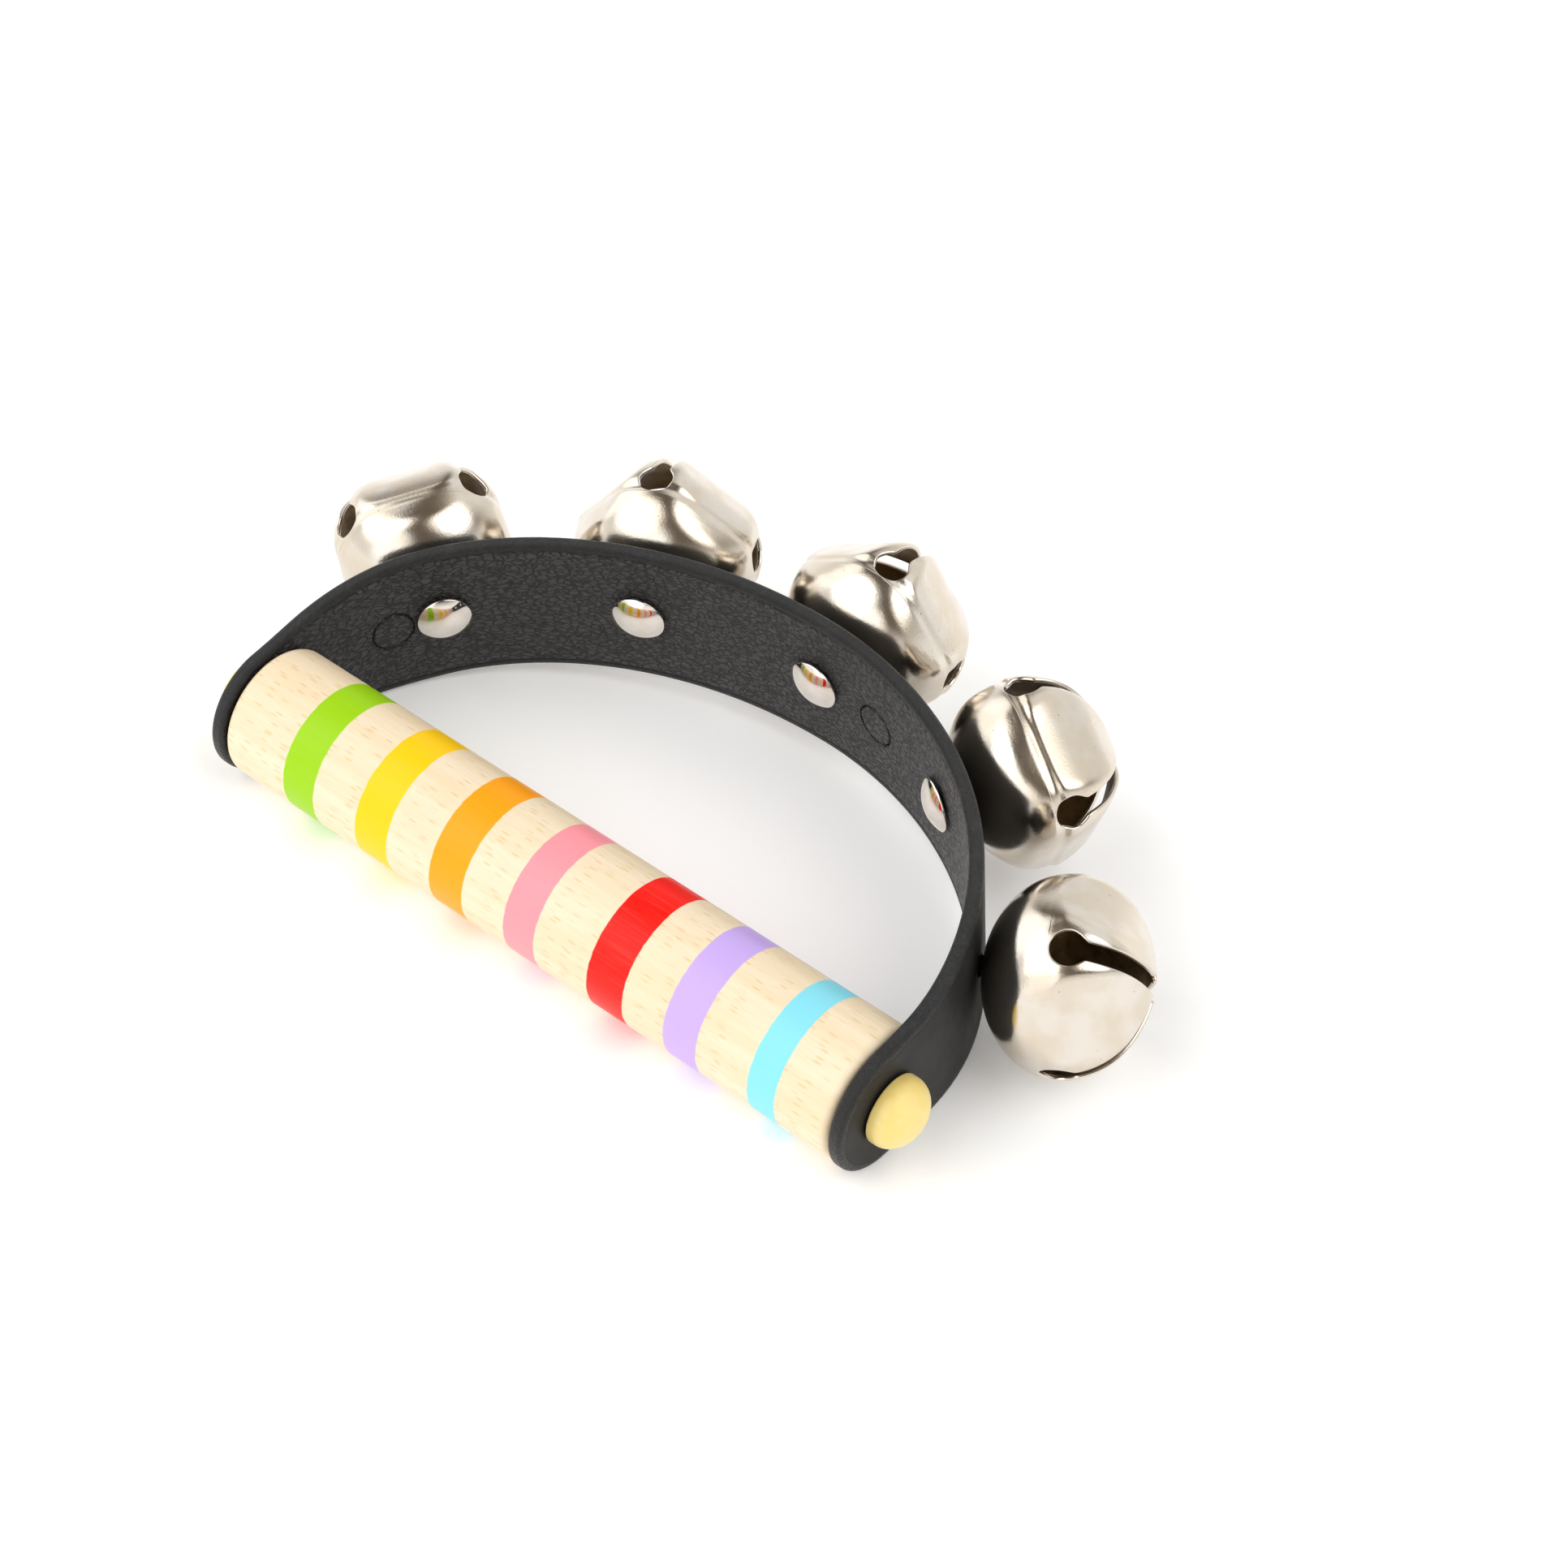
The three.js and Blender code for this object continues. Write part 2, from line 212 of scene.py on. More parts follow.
# ------------------------------------------------------------------ material helpers
class Nodes:
    """Short-hand for building a node tree."""

    def __init__(self, tree):
        self.tree = tree

    def add(self, kind, inputs=(), **settings):
        node = self.tree.nodes.new(kind)
        for key, value in settings.items():
            setattr(node, key, value)
        for key, value in dict(inputs).items():
            self.put(node.inputs[key], value)
        return node

    def put(self, socket, value):
        if isinstance(value, bpy.types.NodeSocket):
            self.tree.links.new(value, socket)
        else:
            socket.default_value = value

    def math(self, operation, *values):
        return self.add("ShaderNodeMath", enumerate(values), operation=operation).outputs[0]

    def vector(self, operation, first, second):
        node = self.add("ShaderNodeVectorMath", {0: first}, operation=operation)
        if operation == "SCALE":
            self.put(node.inputs["Scale"], second)
        else:
            self.put(node.inputs[1], second)
        return node

    def noise(self, vector, scale, detail=2.0, roughness=0.5):
        inputs = {"Vector": vector, "Scale": scale, "Detail": detail, "Roughness": roughness}
        return self.add("ShaderNodeTexNoise", inputs).outputs["Fac"]

    def remap(self, value, from_low, from_high, to_low=0.0, to_high=1.0, smooth=True):
        kind = "SMOOTHSTEP" if smooth else "LINEAR"
        inputs = {0: value, 1: from_low, 2: from_high, 3: to_low, 4: to_high}
        return self.add("ShaderNodeMapRange", inputs, interpolation_type=kind).outputs[0]

    def mix(self, factor, first, second):
        node = self.add("ShaderNodeMix", data_type="RGBA")
        self.put(node.inputs[0], factor)
        self.put(node.inputs[6], first)
        self.put(node.inputs[7], second)
        return node.outputs[2]

    def bump(self, height, strength, distance, normal=None):
        inputs = {"Height": height, "Strength": strength, "Distance": distance * MM}
        if normal is not None:
            inputs["Normal"] = normal
        return self.add("ShaderNodeBump", inputs).outputs[0]

    def place(self, scale_x=1.0, scale_y=1.0, scale_z=1.0):
        """The point on the piece in the stick's frame, in millimetres, stretched."""
        where = self.add("ShaderNodeTexCoord").outputs["Object"]
        home = STICK.inverted()
        mapping = {"Vector": where, "Rotation": home.to_euler(), "Scale": (1 / MM, 1 / MM, 1 / MM),
                   "Location": home.to_translation() / MM}
        inside = self.add("ShaderNodeMapping", mapping).outputs[0]
        return self.vector("MULTIPLY", inside, (scale_x, scale_y, scale_z)).outputs[0]


def linear(colour):
    """An sRGB colour as the linear RGBA that a socket takes."""
    values = [c / 12.92 if c <= 0.04045 else ((c + 0.055) / 1.055) ** 2.4 for c in colour]
    return (*values, 1.0)


def new_material(name, **constants):
    material = bpy.data.materials.new(name)
    material.use_nodes = True
    shader = material.node_tree.nodes["Principled BSDF"]
    for key, value in constants.items():
        shader.inputs[key.replace("_", " ")].default_value = value
    return material, Nodes(material.node_tree), shader


# ------------------------------------------------------------------ materials
def beech_material():
    """Pale beech with short darker flecks along the stick, painted rings and a satin varnish."""
    material, nodes, shader = new_material(
        "beech_painted", Coat_Weight=0.05, Coat_Roughness=0.25, Specular_IOR_Level=0.22)
    streaks = nodes.noise(nodes.place(0.030, 0.55, 0.55), 1.0, 3, 0.55)
    fibres = nodes.noise(nodes.place(0.12, 3.2, 3.2), 1.0, 3, 0.6)
    clouds = nodes.noise(nodes.place(0.05, 0.12, 0.12), 1.0, 2)
    pale = linear((0.945, 0.880, 0.770))
    warm = linear((0.925, 0.845, 0.710))
    wood = nodes.mix(nodes.remap(streaks, 0.32, 0.72), pale, warm)
    wood = nodes.mix(nodes.remap(clouds, 0.4, 0.75, 0.0, 0.35), wood, linear((0.920, 0.83, 0.68)))
    wood = nodes.mix(nodes.remap(fibres, 0.52, 0.80, 0.0, 0.35), wood, linear((0.86, 0.73, 0.56)))

    # Beech's rays show as short tan dashes along the grain, spaced over the stick's round face.
    x, y, z = nodes.add("ShaderNodeSeparateXYZ", {0: nodes.place()}).outputs
    around = nodes.math("MULTIPLY", nodes.math("ARCTAN2", z, y), HANDLE_DIAMETER / 2)
    cell = nodes.add("ShaderNodeCombineXYZ", {
        0: nodes.math("MULTIPLY", x, 0.27), 1: nodes.math("MULTIPLY", around, 1.25)}).outputs[0]
    dash = nodes.add("ShaderNodeTexVoronoi", {"Vector": cell, "Scale": 1.0}, voronoi_dimensions="2D")
    length = nodes.remap(dash.outputs["Distance"], 0.10, 0.32, 1.0, 0.0)
    chance = nodes.add("ShaderNodeSeparateColor", {0: dash.outputs["Color"]}).outputs[0]
    flecks = nodes.math("MULTIPLY", length, nodes.remap(chance, 0.30, 0.90))
    wood = nodes.mix(nodes.math("MULTIPLY", flecks, 0.5), wood, linear((0.86, 0.71, 0.47)))

    # The rings were sprayed against masks, so their edges wander a little.
    wander = nodes.noise(nodes.place(0.7, 0.7, 0.7), 1.0, 3)
    where = nodes.math("ADD", x, nodes.remap(wander, 0.0, 1.0, -0.16, 0.16, smooth=False))
    colour = wood
    paint = None
    for start, end, ring_colour in RINGS:
        offset = nodes.math("ABSOLUTE", nodes.math("SUBTRACT", where, (start + end) / 2))
        half = (end - start) / 2
        inside = nodes.remap(offset, half - 0.10, half + 0.10, 1.0, 0.0)
        thick = nodes.mix(nodes.remap(fibres, 0.45, 0.8, 0.0, 0.05), linear(ring_colour), wood)
        colour = nodes.mix(inside, colour, thick)
        paint = inside if paint is None else nodes.math("ADD", paint, inside)
    nodes.put(shader.inputs["Base Color"], colour)

    satin = nodes.remap(paint, 0.0, 1.0, 0.50, 0.40, smooth=False)
    nodes.put(shader.inputs["Roughness"], satin)
    grain = nodes.math("SUBTRACT", nodes.math("MULTIPLY", fibres, 0.6), flecks)
    relief = nodes.bump(grain, 0.25, 0.04)
    relief = nodes.bump(paint, 0.5, 0.05, relief)
    nodes.put(shader.inputs["Normal"], relief)
    return material


def along_strap(nodes, stretch_along, stretch_across):
    """Coordinates that follow the bowed strap: along it, across it and through it, in mm."""
    mean_radius = 58.0  # of the arch, which turns an angle into a length
    where = nodes.add("ShaderNodeSeparateXYZ", {0: nodes.place()}).outputs
    depth = nodes.math("SUBTRACT", where[1], ARCH_START)
    turn = nodes.math("ARCTAN2", where[0], depth)
    along = nodes.math("MULTIPLY", turn, mean_radius * stretch_along)
    across = nodes.math("MULTIPLY", where[2], stretch_across)
    reach = nodes.math("SQRT", nodes.math("ADD", nodes.math("POWER", where[0], 2.0),
                                          nodes.math("POWER", depth, 2.0)))
    inputs = {0: along, 1: across, 2: nodes.math("MULTIPLY", reach, stretch_across * 0.6)}
    return nodes.add("ShaderNodeCombineXYZ", inputs).outputs[0]


def grain_material():
    """The strap's inner face: black leatherette pressed with a wrinkled grain."""
    material, nodes, shader = new_material("leatherette_grain", Specular_IOR_Level=0.50)
    place = along_strap(nodes, 0.62, 1.25)
    bend = nodes.add("ShaderNodeTexNoise", {"Vector": place, "Scale": 0.8, "Detail": 2.0})
    shifted = nodes.vector("ADD", place, nodes.vector("SCALE", bend.outputs["Color"], 1.6).outputs[0])
    cells = nodes.add("ShaderNodeTexVoronoi", {"Vector": shifted.outputs[0], "Scale": 1.0},
                      feature="DISTANCE_TO_EDGE")
    valley = nodes.remap(cells.outputs["Distance"], 0.0, 0.22)
    wrinkles = nodes.noise(shifted.outputs[0], 1.7, 4, 0.6)
    fine = nodes.noise(nodes.place(6, 6, 6), 1.0, 3, 0.6)
    height = nodes.math("ADD", nodes.math("MULTIPLY", valley, 0.45),
                        nodes.math("MULTIPLY", wrinkles, 0.75))
    height = nodes.math("ADD", height, nodes.math("MULTIPLY", fine, 0.10))
    # The colour follows the grain's height: the darker valleys are painted shade, and the lighter raised
    # tops are partly wear and partly painted highlight.
    dark = linear((0.045, 0.044, 0.047))
    light = linear((0.235, 0.232, 0.240))
    nodes.put(shader.inputs["Base Color"], nodes.mix(nodes.remap(height, 0.5, 1.0), dark, light))
    nodes.put(shader.inputs["Roughness"], nodes.remap(height, 0.4, 0.95, 0.52, 0.36))
    nodes.put(shader.inputs["Normal"], nodes.bump(height, 1.0, 0.42))
    return material


def back_material():
    """The strap's outer face: the same leatherette, nearly smooth and matt."""
    material, nodes, shader = new_material("leatherette_back", Specular_IOR_Level=0.25)
    fine = nodes.noise(nodes.place(3.2, 3.2, 3.2), 1.0, 4, 0.7)
    broad = nodes.noise(nodes.place(0.12, 0.12, 0.12), 1.0, 3)
    shade = nodes.math("ADD", nodes.math("MULTIPLY", fine, 0.6), nodes.math("MULTIPLY", broad, 0.4))
    dark = linear((0.085, 0.085, 0.088))
    light = linear((0.165, 0.165, 0.165))
    colour = nodes.mix(nodes.remap(shade, 0.3, 0.7), dark, light)
    nodes.put(shader.inputs["Base Color"], colour)
    nodes.put(shader.inputs["Roughness"], nodes.remap(broad, 0.3, 0.7, 0.48, 0.62))
    nodes.put(shader.inputs["Normal"], nodes.bump(fine, 0.3, 0.07))
    return material


def edge_material():
    """The strap's painted edge: a black coat that has wrinkled as it dried."""
    material, nodes, shader = new_material("leatherette_edge", Specular_IOR_Level=0.50)
    place = along_strap(nodes, 0.8, 1.6)
    wrinkles = nodes.noise(place, 1.7, 5, 0.65)
    broad = nodes.noise(nodes.place(0.3, 0.3, 0.3), 1.0, 3)
    dark = linear((0.030, 0.031, 0.034))
    light = linear((0.135, 0.140, 0.150))
    # The edge coat is painted lighter where its wrinkles stand up: these are painted highlights.
    painted_glints = nodes.remap(nodes.math("MULTIPLY", wrinkles, broad), 0.24, 0.42)
    nodes.put(shader.inputs["Base Color"], nodes.mix(painted_glints, dark, light))
    nodes.put(shader.inputs["Roughness"], nodes.remap(wrinkles, 0.3, 0.7, 0.26, 0.46))
    nodes.put(shader.inputs["Normal"], nodes.bump(wrinkles, 1.0, 0.55))
    return material


def nickel_material():
    """Warm nickel plate over pressed steel: faint orange peel, drawing marks, specks."""
    material, nodes, shader = new_material("nickel_plate", Metallic=1.0)
    patches = nodes.noise(nodes.place(0.16, 0.16, 0.16), 1.0, 3)
    peel = nodes.noise(nodes.place(2.6, 2.6, 2.6), 1.0, 3, 0.6)
    scratches = nodes.noise(nodes.place(0.5, 3.5, 9.0), 1.0, 3, 0.7)
    specks = nodes.add("ShaderNodeTexVoronoi", {"Vector": nodes.place(0.42, 0.42, 0.42), "Scale": 1.0})
    pits = nodes.remap(specks.outputs["Distance"], 0.03, 0.07, 1.0, 0.0)
    bright = linear((0.865, 0.836, 0.795))
    warm = linear((0.835, 0.790, 0.722))
    colour = nodes.mix(nodes.remap(patches, 0.35, 0.65), bright, warm)
    colour = nodes.mix(nodes.math("MULTIPLY", pits, 0.6), colour, linear((0.45, 0.40, 0.34)))
    nodes.put(shader.inputs["Base Color"], colour)
    rough = nodes.remap(nodes.math("ADD", patches, nodes.math("MULTIPLY", scratches, 0.6)),
                        0.5, 1.1, 0.13, 0.22)
    nodes.put(shader.inputs["Roughness"], rough)
    relief = nodes.bump(peel, 0.30, 0.05)
    relief = nodes.bump(scratches, 0.08, 0.04, relief)
    nodes.put(shader.inputs["Normal"], relief)
    return material


def bell_inside_material():
    """The unpolished inside of the bells: brown-grey steel under thin plate."""
    material, nodes, shader = new_material("bell_inside", Metallic=1.0)
    patches = nodes.noise(nodes.place(0.2, 0.2, 0.2), 1.0, 4, 0.6)
    grit = nodes.noise(nodes.place(4, 4, 4), 1.0, 2)
    dark = linear((0.46, 0.37, 0.25))
    light = linear((0.66, 0.56, 0.41))
    nodes.put(shader.inputs["Base Color"], nodes.mix(nodes.remap(patches, 0.3, 0.7), dark, light))
    nodes.put(shader.inputs["Roughness"], nodes.remap(grit, 0.3, 0.7, 0.32, 0.5))
    nodes.put(shader.inputs["Normal"], nodes.bump(grit, 0.2, 0.04))
    return material


def polished_material():
    """The rivet caps: brighter, buffed nickel with hairline marks."""
    material, nodes, shader = new_material("nickel_polished", Metallic=1.0)
    hairs = nodes.noise(nodes.place(1.0, 9.0, 2.0), 1.0, 3, 0.7)
    smudge = nodes.noise(nodes.place(0.5, 0.5, 0.5), 1.0, 3)
    bright = linear((0.920, 0.895, 0.870))
    warm = linear((0.890, 0.855, 0.810))
    nodes.put(shader.inputs["Base Color"], nodes.mix(nodes.remap(smudge, 0.35, 0.7), bright, warm))
    nodes.put(shader.inputs["Roughness"], nodes.remap(smudge, 0.3, 0.8, 0.03, 0.09))
    nodes.put(shader.inputs["Normal"], nodes.bump(hairs, 0.03, 0.03))
    return material


def steel_material():
    """The loose balls: plain hardened steel, dulled by rolling about."""
    material, nodes, shader = new_material("ball_steel", Metallic=1.0)
    scuffs = nodes.noise(nodes.place(1.2, 1.2, 1.2), 1.0, 5, 0.7)
    dark = linear((0.47, 0.45, 0.43))
    light = linear((0.66, 0.64, 0.61))
    nodes.put(shader.inputs["Base Color"], nodes.mix(nodes.remap(scuffs, 0.3, 0.7), dark, light))
    nodes.put(shader.inputs["Roughness"], nodes.remap(scuffs, 0.3, 0.7, 0.22, 0.42))
    nodes.put(shader.inputs["Normal"], nodes.bump(scuffs, 0.1, 0.04))
    return material


def peg_material():
    """Satin cream-yellow paint on a turned wooden peg."""
    material, nodes, shader = new_material(
        "peg_paint", Coat_Weight=0.3, Coat_Roughness=0.3, Subsurface_Weight=0.08)
    shader.inputs["Subsurface Radius"].default_value = (1.0, 0.7, 0.3)
    shader.inputs["Subsurface Scale"].default_value = 1.5 * MM
    clouds = nodes.noise(nodes.place(0.28, 0.28, 0.28), 1.0, 3)
    turning = nodes.noise(nodes.place(4.0, 0.25, 0.25), 1.0, 3)
    pale = linear((0.960, 0.870, 0.560))
    deep = linear((0.945, 0.835, 0.480))
    nodes.put(shader.inputs["Base Color"], nodes.mix(nodes.remap(clouds, 0.3, 0.7), pale, deep))
    nodes.put(shader.inputs["Roughness"], nodes.remap(turning, 0.3, 0.7, 0.36, 0.48))
    nodes.put(shader.inputs["Normal"], nodes.bump(turning, 0.12, 0.06))
    return material


# ------------------------------------------------------------------ stick and pegs
def build_stick(material):
    radius = HANDLE_DIAMETER / 2
    half = HANDLE_LENGTH / 2
    core = radius - HANDLE_ROUNDING
    shoulder = half - HANDLE_ROUNDING
    bore = PEG_SHANK_DIAMETER / 2 + FIT_GAP
    bore_end = half - PEG_SHANK_LENGTH
    body = [(radius, x) for x in np.linspace(-shoulder, shoulder, 61)[1:-1]]
    profile = [
        (0, -bore_end),
        (bore, -bore_end),
        (bore, -half),
        *arc(core, -shoulder, HANDLE_ROUNDING, HANDLE_ROUNDING, -90, 0, 10),
        *body,
        *arc(core, shoulder, HANDLE_ROUNDING, HANDLE_ROUNDING, 0, 90, 10),
        (bore, half),
        (bore, bore_end),
        (0, bore_end),
    ]
    points, faces = turned(profile, 128)
    lie = np.array([(z, y, -x) for x, y, z in points])
    piece = make_piece("beech_stick", lie, faces, STICK, [material], "root", "handle")
    add_bevel(piece, width=0.25)


def build_peg(side, material):
    shank = PEG_SHANK_DIAMETER / 2
    head = PEG_HEAD_DIAMETER / 2
    rim = 1.2  # the head's straight-sided rim, below its dome
    fillet = 0.35
    tip = 0.8  # the rounding at the shank's end
    profile = [
        (0, -PEG_SHANK_LENGTH),
        *arc(shank - tip, -PEG_SHANK_LENGTH + tip, tip, tip, -90, 0, 4),
        (shank, 0),
        *arc(head - fillet, fillet, fillet, fillet, -90, 0, 4),
        *arc(0, rim, head, PEG_HEAD_HEIGHT - rim, 0, 90, 26),
    ]
    profile[-1] = (0, PEG_HEAD_HEIGHT)
    points, faces = turned(profile, 72)
    seat = HANDLE_LENGTH / 2 + 2 * FIT_GAP + STRAP_THICKNESS
    place = Matrix.Translation((side * seat * MM, 0, 0)) @ Matrix.Rotation(side * math.pi / 2, 4, "Y")
    name = "peg_left" if side < 0 else "peg_right"
    piece = make_piece(f"turned_{name}", points, faces, STICK @ place, [material],
                       "root", name)
    add_bevel(piece, width=0.15)


# ------------------------------------------------------------------ strap
ARCH_HALF_WIDTH = HANDLE_LENGTH / 2 + FIT_GAP + STRAP_THICKNESS
PATH_LEAD = 1.0  # the strap's path starts this far before one tab and ends this far after the other
TAPER_STRETCH = 1.08  # the widening eases out this much further along than its nominal length
RING_MARKS = (-72.8, 16.1)  # where the inner face has a scored ring, along the strap from its middle
RING_MARK_RADIUS = 3.55
RING_MARK_HALF_WIDTH = 0.28
RING_MARK_DEPTH = 0.30
GRAIN_FACE = 0  # the strap's materials, in the order of its slots
BACK_FACE = 1
EDGE_FACE = 2


def strap_path():
    """The strap's outer face in plan: distances along it, points and outward normals."""
    angles = np.linspace(math.pi, 0, 1601)
    side = np.cos(angles)
    power = 2 / np.where(side < 0, ARCH_FULLNESS_LEFT, ARCH_FULLNESS_RIGHT)
    rise = np.abs(np.sin(angles)) ** power
    x = ARCH_HALF_WIDTH * np.sign(side) * np.abs(side) ** power + ARCH_SWAY * rise**2
    y = ARCH_START + ARCH_DEPTH * rise
    leg = np.linspace(-TAB_RADIUS - PATH_LEAD, ARCH_START, 120)[:-1]
    x = np.concatenate([np.full(leg.size, -ARCH_HALF_WIDTH), x, np.full(leg.size, ARCH_HALF_WIDTH)])
    y = np.concatenate([leg, y, leg[::-1]])
    points = np.column_stack([x, y])
    steps = np.linalg.norm(np.diff(points, axis=0), axis=1)
    along = np.concatenate([[0], np.cumsum(steps)])
    tangent = np.gradient(points, along, axis=0)
    normals = np.column_stack([-tangent[:, 1], tangent[:, 0]])
    normals /= np.linalg.norm(normals, axis=1)[:, None]
    return along, points, normals


PATH_ALONG, PATH_POINTS, PATH_NORMALS = strap_path()


def on_strap(along, height, depth):
    """Places points given by their distance along the strap, height, and depth under its outer face."""
    def read(table):
        return np.interp(along, PATH_ALONG, table)

    x = read(PATH_POINTS[:, 0]) - depth * read(PATH_NORMALS[:, 0])
    y = read(PATH_POINTS[:, 1]) - depth * read(PATH_NORMALS[:, 1])
    return np.stack([x, y, np.broadcast_to(height, x.shape)], axis=-1)


def strap_outline():
    """Stations along the strap, and its edges there: round tabs that widen into the band."""
    length = PATH_ALONG[-1]
    full_top = STRAP_WIDTH / 2 - STRAP_DROP
    full_bottom = -STRAP_WIDTH / 2 - STRAP_DROP
    start = PATH_LEAD + TAB_RADIUS
    turn = np.radians(np.linspace(90, 0, 22))
    tab = start - TAB_RADIUS * np.sin(turn)
    tab_half = TAB_RADIUS * np.cos(turn)
    band = np.linspace(start, length - start, 330)[1:-1]
    near = np.minimum(band, length - band) - start
    widen = smoothstep(near, 0, TAPER_LENGTH * TAPER_STRETCH)
    top = np.concatenate([tab_half, TAB_RADIUS + (full_top - TAB_RADIUS) * widen, tab_half[::-1]])
    bottom = np.concatenate(
        [-tab_half, -TAB_RADIUS + (full_bottom + TAB_RADIUS) * widen, -tab_half[::-1]])
    stations = np.concatenate([tab, band, length - tab[::-1]])
    return stations, top, bottom


def rim_profile():
    """(inset, depth) points over the strap's edge, from its outer face round to its inner one."""
    thick = STRAP_THICKNESS
    soft = 0.75
    groove = 0.16
    outer = [(2.1, 0), (1.75, 0), (1.5, groove * 0.35), (1.25, 0.02), (1.0, 0)]
    over = arc(soft, soft, soft, soft, 270, 180, 6)
    under = arc(soft, thick - soft, soft, soft, 180, 90, 6)
    inner = [(1.0, thick), (1.2, thick - 0.03), (1.42, thick - groove), (1.65, thick - 0.03), (2.1, thick)]
    return outer + over + under + inner


def build_strap(grain, back, edge):
    stations, top, bottom = strap_outline()
    count = stations.size
    loop = np.concatenate([
        np.column_stack([stations, top]),
        np.column_stack([stations[::-1], bottom[::-1]])[1:-1],
    ])
    tangent = np.roll(loop, -1, axis=0) - np.roll(loop, 1, axis=0)
    outward = np.column_stack([-tangent[:, 1], tangent[:, 0]])
    outward /= np.linalg.norm(outward, axis=1)[:, None]
    size = len(loop)

    columns = 20
    flat_rings = 3  # the rings of the rim's profile that lie in each of the two faces
    points, faces, kinds = [], [], []
    profile = rim_profile()
    for inset, depth in profile:
        place = loop - outward * inset
        points.append(on_strap(place[:, 0], place[:, 1], depth))
    for ring in range(len(profile) - 1):
        kind = EDGE_FACE
        if ring < flat_rings:
            kind = BACK_FACE
        if ring > len(profile) - 1 - flat_rings:
            kind = GRAIN_FACE
        for i in range(size):
            j = (i + 1) % size
            above = (ring + 1) * size
            faces.append((ring * size + i, ring * size + j, above + j, above + i))
            kinds.append(kind)

    # The two faces are ladders between the top and the bottom of the innermost rings.
    base = len(profile) * size
    shares = np.linspace(0, 1, columns + 1)[1:-1]
    outer = (0, 0.0, False, BACK_FACE)
    inner = (len(profile) - 1, STRAP_THICKNESS, True, GRAIN_FACE)
    for ring, depth, flip, kind in (outer, inner):
        inset = profile[ring][0]
        place = loop - outward * inset
        rungs = []
        for i in range(1, count - 1):
            upper, lower = place[i], place[size - i]
            cells = upper + (lower - upper) * shares[:, None]
            points.append(on_strap(cells[:, 0], cells[:, 1], depth))
            rungs.append([ring * size + i, *range(base, base + columns - 1), ring * size + size - i])
            base += columns - 1
        for first, second in zip(rungs, rungs[1:]):
            for c in range(columns):
                quad = (first[c], first[c + 1], second[c + 1], second[c])
                faces.append(quad[::-1] if flip else quad)
                kinds.append(kind)
        for rung, tip, reverse in ((rungs[0], 0, False), (rungs[-1], count - 1, True)):
            for c in range(columns):
                fan = (ring * size + tip, rung[c], rung[c + 1])
                if flip == reverse:
                    fan = fan[::-1]
                faces.append(fan)
                kinds.append(kind)
    piece = make_piece("leatherette_strap", np.concatenate(points), faces, STICK,
                       [grain, back, edge], "root", "strap", kinds)
    clean_up(piece.data, tolerance=0.002)
    return piece


def cut_strap(strap):
    """Punches the peg and rivet holes, and scores two shallow rings into the inner face."""
    reach = 6  # the punch's half length, more than the strap is thick
    clear = 3  # how far a rivet's punch stands out of the strap's outer face
    cutter_points, cutter_faces = [], []

    def add(points, faces, place):
        base = len(cutter_points)
        cutter_points.extend((place @ Vector(p)) for p in points)
        cutter_faces.extend([[base + i for i in face] for face in faces])

    scale = Matrix.Scale(MM, 4)
    hole = PEG_SHANK_DIAMETER / 2 + FIT_GAP
    lie = Matrix.Rotation(math.pi / 2, 4, "Y")
    for side in (-1, 1):
        rod = turned([(0, -reach), (hole, -reach), (hole, reach), (0, reach)], 48)
        add(*rod, Matrix.Translation((side * ARCH_HALF_WIDTH * MM, 0, 0)) @ lie @ scale)
    hole = RIVET_SHANK_DIAMETER / 2 + FIT_GAP
    for number in range(1, 6):
        rod = turned([(0, -reach), (hole, -reach), (hole, clear), (0, clear)], 32)
        add(*rod, STICK.inverted() @ seat_frame(number) @ scale)
    middle = PATH_ALONG[-1] / 2
    for along in RING_MARKS:
        ring = [
            (RING_MARK_RADIUS, RING_MARK_DEPTH),
            (RING_MARK_RADIUS - RING_MARK_HALF_WIDTH, 0),
            (RING_MARK_RADIUS, -RING_MARK_DEPTH),
            (RING_MARK_RADIUS + RING_MARK_HALF_WIDTH, 0),
            (RING_MARK_RADIUS, RING_MARK_DEPTH),
        ]
        points, faces = turned(ring, 64)
        where = on_strap(np.array([middle + along]), -STRAP_DROP, STRAP_THICKNESS)[0]
        ahead = on_strap(np.array([middle + along + 0.5]), -STRAP_DROP, STRAP_THICKNESS)[0]
        x_axis = (Vector(ahead) - Vector(where)).normalized()
        y_axis = Vector((0, 0, 1))
        turn = Matrix((x_axis, y_axis, x_axis.cross(y_axis))).transposed().to_4x4()
        add(points, faces, Matrix.Translation(Vector(where) * MM) @ turn @ scale)

    mesh = bpy.data.meshes.new("strap_cutter")
    mesh.from_pydata(cutter_points, [], cutter_faces)
    mesh.transform(STICK)
    clean_up(mesh, tolerance=0.001)
    cutter = bpy.data.objects.new("strap_cutter", mesh)
    bpy.context.scene.collection.objects.link(cutter)
    cut = strap.modifiers.new("punched holes", "BOOLEAN")
    cut.operation = "DIFFERENCE"
    cut.solver = "EXACT"
    cut.object = cutter
    bpy.context.view_layer.update()
    graph = bpy.context.evaluated_depsgraph_get()
    done = bpy.data.meshes.new_from_object(strap.evaluated_get(graph))
    strap.modifiers.remove(cut)
    strap.data = done
    bpy.data.objects.remove(cutter)


# ------------------------------------------------------------------ bells
PLATE_FLOOR = -0.4  # how far below its hinge a petal's ellipse is followed, as a share of its height
SOFT_BLEND = 2.2  # how gently the round body turns into a petal's plate, low down
TIGHT_BLEND = 0.5  # and above the bend
TIGHTENS = (-3.5, 0.5)  # the heights between which the blend changes from soft to tight
SQUARES = (-8.5, -4.0)  # the heights between which the round dome starts to turn four-sided


